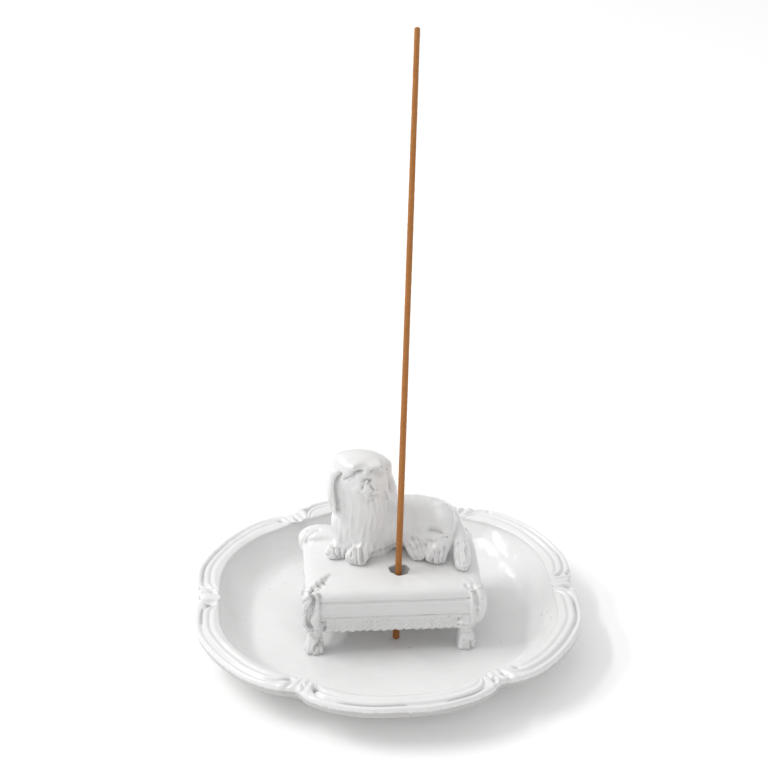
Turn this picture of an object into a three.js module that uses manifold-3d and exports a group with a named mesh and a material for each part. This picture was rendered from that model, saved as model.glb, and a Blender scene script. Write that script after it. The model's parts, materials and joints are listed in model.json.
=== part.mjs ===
// Incense holder: a spaniel on a cushioned footstool, standing in a six-lobed dish.
// Millimetres, +Z up. The origin is the middle of the dish's flat base.
import * as THREE from "three";
import { mergeVertices } from "three/addons/utils/BufferGeometryUtils.js";
import Module from "manifold-3d";

const wasm = await Module();
wasm.setup();

// Room left between two curved pieces that meet.
const gap = 0.3;

// Footstool: a hollow seat with a cushion top, on four paw feet.
const seatLength = 61.5;
const seatDepth = 43.9;
const seatShift = 1.6;
const footHeight = 13.3;
const bandHeight = 8;
const cushionEdge = 3.7;
const cushionCrown = 1.8;
const cushionRoll = 1.5;
const seatCorner = 5;
const seatWall = 4.2;
const seatRoof = 5.5;
const pipingDepth = 0.55;
const pipingWidth = 1.3;
const footSetback = 3.8;
const collarRadius = 4.2;
const collarHeight = 2.6;
const ankleRadius = 2.8;
const pawLength = 4.6;
const toeRadius = 1.7;
const fringeDrop = 3.6;
const fringeThick = 3;
const fringeInset = 0.6;
const strandPitch = 1.5;
const strandNotch = 1.1;
const strandSlant = 0.9;
const fringeArch = 1.2;
const tasselRadius = 3.4;
const tasselInset = 2.2;

// Dish: a flat floor, a coved wall and a moulded rim in lobes with ties between them.
const floorThick = 4.5;
const floorMargin = 11;
const wallRun = 15.5;
const rimWidth = 9;
const rimRise = 11.7;
const rimDepth = 5.4;
const rimOverhang = 4.6;
const beadDepth = 0.8;
const footStep = 3;
const footBevel = 0.6;
const lobeCount = 6;
const lobeBulge = 4.4;
const tieTurn = 0.85;
const tieRidge = 0.55;
const tiePit = 1.4;
const tieNotch = 1.2;
const tieSpan = 8.5;

// Spaniel, from its left forepaw to its tail, with its ears and its combed chest.
const dogLength = 50;

// Length of a limb's round end, for a half width of 1.
const bluntness = 0.62;

// Side of a block that cuts a piece, larger than any piece that it cuts.
const cutSide = 60;

// Incense stick and the hole it stands in.
const stickLength = 221.4;
const stickBase = 2.55;
const stickTip = 2;
const stickStand = 0.05;
const stickX = 2.47;
const stickY = -13.2;
const leanRight = 1.98;
const leanBack = 5;
const holeDiameter = 7.1;
const holeRest = 0.35;

const seatUnderside = floorThick + footHeight;
const cushionSeam = seatUnderside + bandHeight;
const cushionTop = cushionSeam + cushionEdge + cushionCrown;
const footX = seatLength / 2 - footSetback;
const footY = seatDepth / 2 - footSetback;
const floorRadius = Math.hypot(footX, footY) + pawLength + floorMargin;
const rimTop = floorThick + rimRise;

const degree = Math.PI / 180;
const stickWay = new THREE.Vector3(
  Math.tan(leanRight * degree),
  Math.tan(leanBack * degree),
  1,
).normalize();

function solid(geometry) {
  const bare = new THREE.BufferGeometry();
  bare.setAttribute("position", geometry.getAttribute("position"));
  bare.setIndex(geometry.getIndex());
  const joined = mergeVertices(bare);
  return new wasm.Manifold(
    new wasm.Mesh({
      numProp: 3,
      vertProperties: Float32Array.from(joined.getAttribute("position").array),
      triVerts: Uint32Array.from(joined.getIndex().array),
    }),
  );
}

// A closed skin through rings of equally many points, each counterclockwise
// about the way the rings run, with a cap to a middle point at both ends.
function skin(rings, first, last) {
  const count = rings[0].length;
  const points = [...rings.flat(), first, last];
  const faces = [];
  for (let j = 0; j < count; j++) {
    const k = (j + 1) % count;
    faces.push(points.length - 2, k, j);
    for (let i = 0; i + 1 < rings.length; i++) {
      const low = i * count;
      const high = low + count;
      faces.push(low + j, low + k, high + k, low + j, high + k, high + j);
    }
    const end = (rings.length - 1) * count;
    faces.push(points.length - 1, end + j, end + k);
  }
  const geometry = new THREE.BufferGeometry().setFromPoints(points);
  geometry.setIndex(faces);
  return solid(geometry);
}

function ellipse(centre, across, deep, halfAcross, halfDeep, count) {
  const ring = [];
  for (let j = 0; j < count; j++) {
    const turn = (2 * Math.PI * j) / count;
    ring.push(
      centre
        .clone()
        .addScaledVector(across, halfAcross * Math.cos(turn))
        .addScaledVector(deep, halfDeep * Math.sin(turn)),
    );
  }
  return ring;
}

// A blunt-ended limb through stations of [x, y, z, half across, half deep].
// Its sections keep their width along the given side.
function limb(stations, side, grow = 0, count = 14, steps = 2) {
  const way = new THREE.CatmullRomCurve3(
    stations.map(([x, y, z]) => new THREE.Vector3(x, y, z)),
  );
  const size = new THREE.CatmullRomCurve3(
    stations.map(([, , , a, b]) => new THREE.Vector3(a, b, 0)),
  );
  const total = steps * (stations.length - 1);
  const rings = [];
  function ringAt(t, scale, reach) {
    const along = way.getTangent(t);
    const across = side.clone().addScaledVector(along, -side.dot(along)).normalize();
    const deep = along.clone().cross(across);
    const { x: a, y: b } = size.getPoint(t);
    const length = (Math.min(a, b) * bluntness + grow) * reach;
    const centre = way.getPoint(t).addScaledVector(along, length);
    if (scale === 0) return centre;
    return ellipse(centre, across, deep, (a + grow) * scale, (b + grow) * scale, count);
  }
  for (const turn of [72, 48, 24]) {
    rings.push(ringAt(0, Math.cos(turn * degree), -Math.sin(turn * degree)));
  }
  for (let i = 0; i <= total; i++) rings.push(ringAt(i / total, 1, 0));
  for (const turn of [24, 48, 72]) {
    rings.push(ringAt(1, Math.cos(turn * degree), Math.sin(turn * degree)));
  }
  return skin(rings, ringAt(0, 0, -1), ringAt(1, 0, 1));
}

const alongX = new THREE.Vector3(1, 0, 0);
const alongY = new THREE.Vector3(0, 1, 0);

function box(length, depth, height, x, y, z, turn = 0) {
  const geometry = new THREE.BoxGeometry(length, depth, height);
  geometry.rotateZ(turn);
  geometry.translate(x, y, z);
  return solid(geometry);
}

// Dish

// Places round the rim, each with its distance from the nearest tie and the
// shape the tie gives it there: how far it is lifted, set in and left plain.
function rimPlaces() {
  const middleRadius = floorRadius + wallRun + rimWidth - lobeBulge;
  const half = 180 / lobeCount;
  const pattern = [
    [0, -0.8 * tieRidge, 0.8, 0],
    [0.14, 0, 0.4, 0],
    [0.24, 1, 0, 0],
    [0.38, 0.3, 0.3, 0],
    [0.58, -tiePit / tieRidge, 1, 0.2],
    [0.8, -0.3, 0.2, 0.8],
    [1, 0, 0, 1],
  ].map(([share, lift, inset, plain]) => ({
    turn: (share * tieSpan) / middleRadius / degree,
    lift: lift * tieRidge,
    inset: inset * tieNotch,
    beads: plain,
  }));
  const open = [0.4, 0.7, 1].map((share) => ({
    turn: pattern[6].turn + (half - pattern[6].turn) * share,
    lift: 0,
    inset: 0,
    beads: 1,
  }));
  const one = [...pattern, ...open];
  const places = [];
  for (let lobe = 0; lobe < lobeCount; lobe++) {
    const tie = tieTurn + lobe * 2 * half;
    for (const p of one) places.push({ ...p, angle: tie + p.turn });
    for (const p of one.slice(1, -1).reverse()) {
      places.push({ ...p, angle: tie + 2 * half - p.turn });
    }
  }
  return places.map((p) => ({ ...p, edge: lobeEdge(p.turn / half) - p.inset }));
}

// Outer edge of the rim, from a tie (0) to the middle of a lobe (1).
function lobeEdge(share) {
  return floorRadius + wallRun + rimWidth - lobeBulge * (1 - share) ** 2;
}

// Section of the dish from its foot, up the outside, over the rim and down.
function dishSection({ edge, lift, beads }) {
  const footRadius = floorRadius + footStep;
  const lip = rimTop - rimDepth;
  const top = rimTop + lift;
  const inner = edge - rimWidth;
  const section = [
    [footRadius - footBevel, 0],
    [footRadius, footBevel],
  ];
  for (const t of [0.35, 0.7, 1]) {
    section.push([
      footRadius + (edge - rimOverhang - footRadius) * t,
      footBevel + (lip - footBevel) * t ** 1.6,
    ]);
  }
  section.push([edge - rimOverhang * 0.4, lip + rimDepth * 0.28]);
  section.push([edge, top - rimDepth * 0.3], [edge - 0.4, top - 0.5]);
  for (const [share, sink] of [
    [0.14, 0],
    [0.25, 0.4],
    [0.33, 1],
    [0.45, 0.15],
    [0.58, 0.9],
    [0.7, 0.15],
    [0.85, 0.5],
  ]) {
    section.push([edge - rimWidth * share, top - beadDepth * sink * beads]);
  }
  const wallTop = top - beadDepth * 2;
  for (const t of [1, 0.8, 0.6, 0.4, 0.2, 0]) {
    section.push([
      floorRadius + (inner - floorRadius) * t,
      floorThick + (wallTop - floorThick) * t ** 1.8,
    ]);
  }
  return section;
}

function dish() {
  const places = rimPlaces();
  const sections = places.map(dishSection);
  const rings = sections[0].map((_, i) =>
    places.map(({ angle }, j) => {
      const [r, z] = sections[j][i];
      return new THREE.Vector3(
        r * Math.cos(angle * degree),
        r * Math.sin(angle * degree),
        z,
      );
    }),
  );
  return skin(
    rings,
    new THREE.Vector3(0, 0, 0),
    new THREE.Vector3(0, 0, floorThick),
  );
}

// Footstool

function roundedRectangle(halfX, halfY, corner, z) {
  const ring = [];
  const fillet = Math.min(corner, halfX * 0.9, halfY * 0.9);
  for (const [sx, sy, start] of [
    [1, 1, 0],
    [-1, 1, 90],
    [-1, -1, 180],
    [1, -1, 270],
  ]) {
    for (let j = 0; j <= 5; j++) {
      const turn = (start + 18 * j) * degree;
      ring.push(
        new THREE.Vector3(
          seatShift + sx * (halfX - fillet) + fillet * Math.cos(turn),
          sy * (halfY - fillet) + fillet * Math.sin(turn),
          z,
        ),
      );
    }
  }
  return ring;
}

// Levels of the seat as [height, inset from its full size].
function seatLevels() {
  const seam = cushionSeam;
  const low = seatUnderside + pipingWidth;
  const edge = seam + cushionEdge;
  return [
    [seatUnderside, 0.3],
    [low - pipingWidth * 0.3, 0.1],
    [low, pipingDepth],
    [low + pipingWidth * 0.3, 0.25],
    [low + pipingWidth * 0.6, pipingDepth],
    [low + pipingWidth, 0.2],
    [seam - pipingWidth * 0.5, 0.2],
    [seam, pipingDepth * 1.3],
    [seam + pipingWidth * 0.5, 0.2],
    [seam + cushionEdge * 0.5, 0],
    [edge - cushionRoll * 0.5, 0.15 * cushionRoll],
    [edge, 0.8 * cushionRoll],
  ];
}

function seatBlank(grow = 0) {
  const halfX = seatLength / 2 + grow;
  const halfY = seatDepth / 2 + grow;
  const rings = seatLevels().map(([z, inset]) =>
    roundedRectangle(halfX - inset, halfY - inset, seatCorner, z + grow),
  );
  const edge = cushionSeam + cushionEdge + grow;
  for (const [inset, rise] of [
    [0.14, 0.35],
    [0.32, 0.7],
    [0.62, 0.94],
  ]) {
    const flat = 0.8 * cushionRoll;
    rings.push(
      roundedRectangle(
        (halfX - flat) * (1 - inset),
        (halfY - flat) * (1 - inset),
        seatCorner,
        edge + cushionCrown * rise,
      ),
    );
  }
  return skin(
    rings,
    new THREE.Vector3(seatShift, 0, seatUnderside + grow),
    new THREE.Vector3(seatShift, 0, cushionTop + grow),
  );
}

function seatHollow() {
  const halfX = seatLength / 2 - seatWall;
  const halfY = seatDepth / 2 - seatWall;
  const roof = cushionTop - seatRoof;
  const corner = Math.max(seatCorner - seatWall, 1);
  return skin(
    [
      roundedRectangle(halfX, halfY, corner, seatUnderside - 1),
      roundedRectangle(halfX, halfY, corner, roof - 1),
      roundedRectangle(halfX - 1, halfY - 1, corner, roof),
    ],
    new THREE.Vector3(seatShift, 0, seatUnderside - 1),
    new THREE.Vector3(seatShift, 0, roof),
  );
}

function stickAt(z) {
  const rise = (z - floorThick) / stickWay.z;
  return new THREE.Vector3(stickX, stickY, floorThick).addScaledVector(stickWay, rise);
}

// The hole leans as the stick does, and the stick rests at its front edge.
function seatHole() {
  const radius = holeDiameter / 2;
  const middle = stickAt(cushionTop - seatRoof / 2);
  middle.y += radius - stickBase / 2 - holeRest;
  const geometry = new THREE.CylinderGeometry(radius, radius, seatRoof * 2, 28);
  geometry.applyQuaternion(
    new THREE.Quaternion().setFromUnitVectors(alongY, stickWay),
  );
  geometry.translate(middle.x, middle.y, middle.z);
  return solid(geometry);
}

// Flat at each corner of the seat, on which a tassel is laid.
function cornerBlock(sx, sy) {
  const side = seatDepth / 2;
  const reach = side / 2 / Math.SQRT2;
  return box(
    side,
    side,
    cutSide,
    seatShift + sx * (seatLength / 2 - tasselInset + reach),
    sy * (seatDepth / 2 - tasselInset + reach),
    cushionSeam,
    Math.PI / 4,
  );
}

function seat() {
  let shape = seatBlank().subtract(seatHollow()).subtract(seatHole());
  for (const [sx, sy] of corners) shape = shape.subtract(cornerBlock(sx, sy));
  return shape;
}

const corners = [
  [-1, -1],
  [1, -1],
  [-1, 1],
  [1, 1],
];

// A knob at the cushion's corner with a twisted tassel hanging below it.
function tassel(sx, sy) {
  const r = tasselRadius;
  const out = (r * 0.3) / Math.SQRT2;
  const x = seatShift + sx * (seatLength / 2 - tasselInset + out);
  const y = sy * (seatDepth / 2 - tasselInset + out);
  const side = new THREE.Vector3(-sy, sx, 0).normalize();
  const edge = cushionSeam + cushionEdge;
  const shape = limb(
    [
      [x, y, edge - 0.5, r * 0.75, r * 0.8],
      [x, y, edge - 2.4, r * 0.8, r * 0.9],
      [x, y, cushionSeam - 0.6, r * 0.62, r * 0.8],
      [x, y, cushionSeam - 3, r * 0.85, r * 1.15],
      [x, y, seatUnderside + 3, r, r * 1.25],
      [x, y, seatUnderside + r * 0.6, r * 0.8, r],
    ],
    side,
    0,
    14,
    1,
  );
  const back = cutSide / 2 / Math.SQRT2 + out;
  return shape.subtract(
    box(cutSide, cutSide, cutSide, x - sx * back, y - sy * back, edge, Math.PI / 4),
  );
}

// A clawed foot: collar, ankle and a paw of three toes, flat on the dish.
function foot(sx, sy) {
  const x = sx * footX;
  const y = sy * footY;
  const rings = [];
  const c = collarRadius;
  const a = ankleRadius;
  for (const [share, radius, out] of [
    [0, a + 0.9, 0.9],
    [0.1, a + 1.1, 0.9],
    [0.24, a + 0.7, 0.7],
    [0.45, a, 0.2],
    [0.62, a, 0],
    [0.78, a + 0.6, 0],
  ]) {
    rings.push([floorThick + (footHeight - collarHeight) * share, radius, out]);
  }
  const collar = seatUnderside - collarHeight;
  rings.push([collar, c * 0.8, 0]);
  rings.push([collar + collarHeight * 0.3, c, 0]);
  rings.push([collar + collarHeight * 0.7, c, 0]);
  rings.push([seatUnderside, c * 0.85, 0]);
  const leg = skin(
    rings.map(([z, radius, out]) =>
      ellipse(
        new THREE.Vector3(x + sx * out * 0.5, y + sy * out, z),
        alongX,
        alongY,
        radius,
        radius,
        18,
      ),
    ),
    new THREE.Vector3(x + sx * 0.45, y + sy * 0.9, floorThick),
    new THREE.Vector3(x, y, seatUnderside),
  );
  let shape = leg;
  for (const turn of [-38, 0, 38]) {
    const way = Math.atan2(sy * 1.5, sx) + turn * degree;
    const dx = Math.cos(way);
    const dy = Math.sin(way);
    const t = toeRadius;
    const out = pawLength - t;
    const toe = limb(
      [
        [x + dx * out * 0.3, y + dy * out * 0.3, floorThick + t * 1.5, t, t],
        [x + dx * out, y + dy * out, floorThick + t * 0.65, t, t * 0.9],
      ],
      new THREE.Vector3(-dy, dx, 0),
      0,
      10,
      1,
    );
    shape = shape.add(toe);
  }
  return shape.subtract(box(cutSide, cutSide, cutSide, x, y, floorThick - cutSide / 2));
}

// A strip of slanting strands below one side of the seat, from foot to foot.
function fringe(length) {
  const shape = new THREE.Shape();
  const count = Math.floor(length / strandPitch);
  const pitch = length / count;
  shape.moveTo(length / 2, 0);
  shape.lineTo(-length / 2, 0);
  for (let i = 0; i < count; i++) {
    const left = -length / 2 + i * pitch;
    const share = (2 * (left + pitch / 2)) / length;
    const tip = -fringeDrop - fringeArch * share ** 6;
    const lean = Math.min(strandSlant, pitch * 0.8);
    if (i > 0) shape.lineTo(left, tip + strandNotch);
    shape.lineTo(left + pitch - lean, tip);
    if (i === 0) shape.lineTo(left + pitch * 0.95, tip + 0.2);
  }
  shape.lineTo(length / 2, -fringeDrop - fringeArch);
  const geometry = new THREE.ExtrudeGeometry(shape, {
    depth: fringeThick,
    bevelEnabled: false,
  });
  geometry.rotateX(Math.PI / 2);
  geometry.translate(0, fringeThick / 2, 0);
  return geometry;
}

function fringeAlongX(sy) {
  const geometry = fringe(2 * (footX - collarRadius - gap));
  const y = sy * (seatDepth / 2 - fringeInset - fringeThick / 2);
  return solid(geometry.translate(0, y, seatUnderside));
}

function fringeAlongY(sx) {
  const geometry = fringe(2 * (footY - collarRadius - gap)).rotateZ(Math.PI / 2);
  const x = seatShift + sx * (seatLength / 2 - fringeInset - fringeThick / 2);
  return solid(geometry.translate(x, 0, seatUnderside));
}

// Spaniel

// Stations are given in fiftieths of the dog's length, from the middle of the
// seat and above the crown of the cushion that the dog lies on.
function onCushion(stations) {
  const unit = dogLength / 50;
  return stations.map(([x, y, h, a, b]) => [
    seatShift + x * unit,
    y * unit,
    cushionTop + h * unit,
    a * unit,
    b * unit,
  ]);
}

function dogPiece(side, ...rows) {
  return (grow = 0) =>
    rows
      .map((stations) => limb(onCushion(stations), side, grow))
      .reduce((whole, next) => whole.add(next));
}

const head = dogPiece(
  alongX,
  [
    [-10.4, 0.4, 27, 4.8, 5.4],
    [-10.6, 1, 30, 7, 7],
    [-10.6, 1.6, 33, 8.4, 8],
    [-10.6, 2.4, 35, 10, 8.6],
    [-10.4, 2.8, 37.6, 10.4, 8],
  ],
  [
    [-10, 1, 31.4, 5, 4.4],
    [-9.5, -3.6, 31.6, 4.1, 3.8],
    [-9.2, -5.4, 31.6, 3.2, 3.1],
  ],
  [
    [-9.2, -5, 34.2, 1.7, 1.2],
    [-9, -7.4, 34, 1.5, 1.1],
  ],
  [
    [-15.4, -2.8, 37.2, 2.2, 1.5],
    [-12.6, -4.4, 38.2, 2.2, 1.3],
  ],
  [
    [-5.2, -3.4, 39.2, 2.2, 1.3],
    [-7, -4.4, 38.8, 2.2, 1.3],
  ],
);

const earLeft = dogPiece(
  alongY,
  [
    [-18, 2.6, 38, 4.6, 2],
    [-19.8, 2, 34.5, 5.2, 2.4],
    [-19.8, 1.8, 29.5, 5, 2.3],
    [-19.2, 1.2, 24.5, 4.2, 2.2],
    [-18.6, 0.6, 20.8, 2.6, 1.6],
  ],
);

const earRight = dogPiece(
  alongY,
  [
    [-3, 3.4, 37.6, 4.4, 2],
    [-1.6, 3, 34, 5, 2.3],
    [-1, 2.6, 31, 5, 2.3],
    [-0.4, 2, 27, 4.2, 2.2],
    [0.1, 1.4, 24, 2.4, 1.6],
  ],
);

const chest = dogPiece(
  alongX,
  [
    [-8.6, 6.4, 1, 9.8, 6.2],
    [-9, 5.6, 8, 10.2, 6.8],
    [-9.8, 4.4, 15, 9.4, 7],
    [-10.4, 3.2, 21, 8.2, 6.6],
    [-10.6, 2.6, 26, 7.6, 6.2],
  ],
);

const foreLegLeft = dogPiece(
  alongX,
  [
    [-14.6, 6, 4.8, 3, 3.2],
    [-17.6, 3.8, 3.5, 3.1, 2.9],
    [-19.8, 1.4, 1.7, 3.4, 2.3],
    [-20.4, 0, 1, 3.2, 1.9],
  ],
);

const foreLegRight = dogPiece(
  alongX,
  [
    [-8, 2, 7.6, 3, 3],
    [-10, -0.6, 5.4, 3.1, 2.9],
    [-12.4, -3.4, 2.8, 3.4, 2.5],
    [-13, -4.8, 1.4, 3.3, 2.1],
  ],
);

const torso = dogPiece(
  alongY,
  [
    [-3.6, 7.4, 9.8, 7, 9.4],
    [4.4, 8, 9.9, 8.4, 9.9],
    [12.4, 8.4, 9.9, 8.8, 9.8],
    [18.4, 9, 8.8, 8.6, 9.2],
    [23, 9.4, 6.8, 6.8, 7.4],
  ],
);

const hindLeg = dogPiece(
  alongX,
  [
    [21.4, 6.4, 7, 4.4, 5.6],
    [19.4, 0.8, 6.4, 4.5, 4.8],
    [17.4, -3.6, 3.8, 4.4, 3.6],
    [17.1, -6.4, 1.8, 4.2, 2.5],
  ],
);

const bellyTuft = dogPiece(
  alongX,
  [
    [7, 1.4, 6.2, 2.4, 2.2],
    [8.8, -0.8, 3.6, 2.9, 2.5],
    [10.4, -3.2, 1.4, 2.2, 1.7],
  ],
);

const tail = dogPiece(
  alongX,
  [
    [24.4, 9, 9.8, 2.4, 2.6],
    [26, 4.4, 7, 2.6, 2.8],
    [26.1, -1.4, 4.4, 2.6, 2.6],
    [25.8, -6.6, 2, 2.8, 2.4],
    [25.5, -10.4, 0.5, 1.7, 1.5],
  ],
);

// Each piece of the dog gives way to those it is laid against.
function dogNodes() {
  const cushion = seatBlank(gap);
  const made = {
    dog_head: [head, []],
    dog_ear_left: [earLeft, [head]],
    dog_ear_right: [earRight, [head]],
    dog_foreleg_left: [foreLegLeft, []],
    dog_foreleg_right: [foreLegRight, []],
    dog_chest: [chest, [head, earLeft, earRight, foreLegLeft, foreLegRight]],
    dog_tail: [tail, []],
    dog_hind_leg: [hindLeg, [tail]],
    dog_belly_tuft: [bellyTuft, [hindLeg]],
    dog_body: [
      torso,
      [head, earLeft, earRight, chest, foreLegLeft, tail, hindLeg, bellyTuft],
    ],
  };
  return Object.entries(made).map(([name, [shape, others]]) => {
    let cut = shape().subtract(cushion);
    for (const other of others) cut = cut.subtract(other(gap));
    return [name, cut];
  });
}

// Incense stick

function incenseStick() {
  const across = alongX.clone().addScaledVector(stickWay, -stickWay.x).normalize();
  const deep = stickWay.clone().cross(across);
  const tilt = Math.acos(stickWay.z);
  const start = stickAt(floorThick).add(
    new THREE.Vector3(0, 0, stickStand + (stickBase / 2) * Math.sin(tilt)),
  );
  const rings = [];
  for (const share of [0, 0.1, 0.25, 0.5, 0.75, 1]) {
    const radius = (stickBase + (stickTip - stickBase) * share) / 2;
    const centre = start.clone().addScaledVector(stickWay, stickLength * share);
    rings.push(ellipse(centre, across, deep, radius, radius, 20));
  }
  const end = start.clone().addScaledVector(stickWay, stickLength);
  return skin(rings, start, end);
}

// Assembly

const group = new THREE.Group();
group.name = "incense_holder";

function place(name, shape, look) {
  const mesh = shape.getMesh();
  const geometry = new THREE.BufferGeometry();
  geometry.setAttribute(
    "position",
    new THREE.BufferAttribute(new Float32Array(mesh.vertProperties), 3),
  );
  geometry.setIndex(Array.from(mesh.triVerts));
  geometry.computeVertexNormals();
  const node = new THREE.Mesh(geometry, new THREE.MeshStandardMaterial(look));
  node.name = name;
  group.add(node);
}

const glaze = { color: 0xe9e7e2, roughness: 0.25, metalness: 0 };
const incense = { color: 0x9a6a40, roughness: 0.9, metalness: 0 };

place("dish", dish(), glaze);
place("seat", seat(), glaze);
for (const [sx, sy] of corners) {
  const corner = `${sy < 0 ? "front" : "back"}_${sx < 0 ? "left" : "right"}`;
  place(`foot_${corner}`, foot(sx, sy), glaze);
  place(`tassel_${corner}`, tassel(sx, sy), glaze);
}
place("fringe_front", fringeAlongX(-1), glaze);
place("fringe_back", fringeAlongX(1), glaze);
place("fringe_left", fringeAlongY(-1), glaze);
place("fringe_right", fringeAlongY(1), glaze);
for (const [name, shape] of dogNodes()) place(name, shape, glaze);
place("incense_stick", incenseStick(), incense);

export default group;
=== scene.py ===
"""A glazed incense holder: a spaniel on a paw-footed cushion stool, in a six-lobed dish.

Shapes are worked out in millimetres in the row frame (+Z up, the table at 0) and
written to meshes in metres. The dish is a turned surface, and the stool and the
dog are modelled as clay: fields that are added to, cut and then skinned.
"""

import json
import math
from itertools import product

import bpy
import numpy as np
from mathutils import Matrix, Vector


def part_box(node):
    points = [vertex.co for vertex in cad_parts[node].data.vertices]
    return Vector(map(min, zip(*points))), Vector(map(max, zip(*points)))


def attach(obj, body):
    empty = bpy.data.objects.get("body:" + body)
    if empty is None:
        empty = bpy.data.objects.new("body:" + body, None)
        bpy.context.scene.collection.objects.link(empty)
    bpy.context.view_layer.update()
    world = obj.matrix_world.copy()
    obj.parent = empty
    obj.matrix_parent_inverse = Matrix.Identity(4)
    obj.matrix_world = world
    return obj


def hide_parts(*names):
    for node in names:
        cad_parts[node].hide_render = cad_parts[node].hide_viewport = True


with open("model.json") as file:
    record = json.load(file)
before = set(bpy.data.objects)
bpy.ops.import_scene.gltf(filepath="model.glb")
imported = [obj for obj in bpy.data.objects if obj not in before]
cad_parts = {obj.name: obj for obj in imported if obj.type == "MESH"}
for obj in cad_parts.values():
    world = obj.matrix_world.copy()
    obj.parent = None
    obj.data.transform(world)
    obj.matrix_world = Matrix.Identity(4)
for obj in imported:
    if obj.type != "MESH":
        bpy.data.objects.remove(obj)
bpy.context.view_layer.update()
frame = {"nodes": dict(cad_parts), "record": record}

MM = 0.001

AXIS_X = np.array([1.0, 0.0, 0.0])
AXIS_Y = np.array([0.0, 1.0, 0.0])


def box_mm(node):
    """Lowest and highest corner of a CAD node, in millimetres."""
    low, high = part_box(node)
    return np.array(low) / MM, np.array(high) / MM


# Driving sizes, in millimetres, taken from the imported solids.
DISH_HIGH = box_mm("dish")[1]
SEAT_LOW, SEAT_HIGH = box_mm("seat")
FLOOR_TOP = box_mm("foot_front_left")[0][2]
CROWN = SEAT_HIGH[2]
SEAT_MIDDLE = (SEAT_LOW + SEAT_HIGH) / 2
SEAT_HALF = (SEAT_HIGH - SEAT_LOW) / 2

# Camera, fitted to the rim's ties and the stick in the photograph: its place, the place
# it looks at, the picture's side and the focal length in pixels, and the sensor's width.
CAMERA_AT = np.array([-40.3, -607.2, 402.2])
CAMERA_AIM = np.array([11.52, 193.98, 4.5])
FRAME_SIDE = 768
FOCAL_PIXELS = 1965
SENSOR = 36

# Dish. Insets are from the rim's outer edge.
LOBE_BULGE = 4.4
RIM_TOP = DISH_HIGH[2] - 0.55
RIM_WIDTH = 9.0
GROOVE_INSET = 3.7
LIP_HEIGHT = RIM_TOP - 5.4
LIP_INSET = 3.9
FLOOR_RADIUS = 48.2
FOOT_RADIUS = 51.0
DISH_STEPS = 1080

# Fine steps between two corners of the dish's section, and the corner from which the
# way across the rim is measured.
SECTION_STEPS = 12
RIM_CORNER = 10

# The six ties between the lobes: each one's place round the dish in degrees, and its
# pits by place along and across the rim, radius and depth.
TIES = [
    (2.4, [(6.3, 2.2, 1.4, 1.7), (5.8, 6.1, 1.2, 0.8), (-3.6, 3.7, 1.5, 1.5)]),
    (62.0, [(-5.9, 2.6, 1.4, 1.2), (-12.5, 3.6, 0.6, 1.0), (3.5, 5.0, 1.5, 1.0)]),
    (119.8, [(6.4, 6.0, 1.5, 1.4), (0.2, 6.6, 1.2, 1.1), (-7.6, 3.6, 1.5, 1.3)]),
    (179.2, [(5.2, 6.2, 1.6, 2.1), (-4.6, 6.8, 1.5, 1.0), (-6.4, 2.6, 0.6, 1.5)]),
    (238.8, [(7.0, 7.2, 1.4, 2.2), (-5.0, 7.4, 1.4, 1.6), (1.6, 4.6, 0.7, 0.9)]),
    (302.0, [(9.4, 7.8, 1.3, 1.3), (-2.2, 4.4, 1.0, 1.2), (2.0, 4.4, 0.9, 1.2)]),
]

# Stool.
UNDERSIDE = SEAT_LOW[2]
SEAM_HEIGHT = CROWN - 5.5
BAND_FOOT = UNDERSIDE + 1.7
FRINGE_TIP = UNDERSIDE - 3.6
SEAT_WALL = 4.3
SEAT_ROOF = 5.6
SEAT_CORNER = 3.2
STRAND_PITCH = 1.0
END_ARCH = 2.6
END_BULGE = 1.3
SIDE_SAG = np.array([1.5, 1.4])
TASSEL_REACH = 7
FOOT_AT = np.array([26.95, 18.15])
FOOT_SINK = 0.25
FRONT_COLLAR = 1.35
BACK_COLLAR = 0.6

# Dog.
NOSE = np.array([SEAT_MIDDLE[0] - 9, -7.4, CROWN + 34.2])

# Clay: the side of a cell, the distance that an empty cell holds, and the length of a
# limb's round end for a half width of 1.
CLAY_STEP = 0.25
EMPTY = 5.0
BLUNTNESS = 0.65

# Wear and painted shade: rounds of averaging, and how much painted shade darkens the glaze in a
# crease of 1 mm.
WEAR_ROUNDS = 3
CREASE_SHADE = 0.22

# Stick, which starts a little above the dish's floor and stops short of its solid's box,
# and its hole, whose middle lies beside and behind the stick's.
STICK_FOOT = np.array([2.47, -13.2, FLOOR_TOP])
STICK_WAY = np.array(frame["record"]["behaviour"]["joints"][0]["axis"])
STICK_LEAN = STICK_WAY / STICK_WAY[2]
STICK_BASE = 1.24
STICK_TIP = 0.97
STICK_START = 0.2
STICK_SHORTER = 0.3
STICK_RINGS = 520
STICK_SIDES = 28
HOLE_RADIUS = 3.5
HOLE_MIDDLE = [0.5, HOLE_RADIUS - STICK_BASE - 0.25]

# Studio, in metres and watts. A light has a name, a place, a size and a power.
KEY_SIZE = (0.8, 0.12)
KEY_POWER = 5.2
LIGHTS = [
    ("key_high", (-0.9, 0.1, 1.3), KEY_SIZE, KEY_POWER),
    ("key_low", (-1.18, 0.1, 1.03), KEY_SIZE, KEY_POWER),
    ("window", (-0.72, 0.88, 1.1), (0.34, 0.1), 1.0),
    ("fill", (-0.2, 0.5, 2.0), (2.2, 2.2), 7.6),
]
LIGHTS_AIM = (0, 0, 0.02)
SKY_STRENGTH = 0.58
STUDIO_HALF = 3


def smooth_step(low, high, value):
    """A smooth rise from 0 at low to 1 at high, or a fall where low is higher."""
    share = np.clip((value - low) / (high - low), 0, 1)
    return share * share * (3 - 2 * share)


def bump(value, middle, width):
    """A rounded hill of height 1."""
    return np.exp(-(((value - middle) / width) ** 2))


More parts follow.
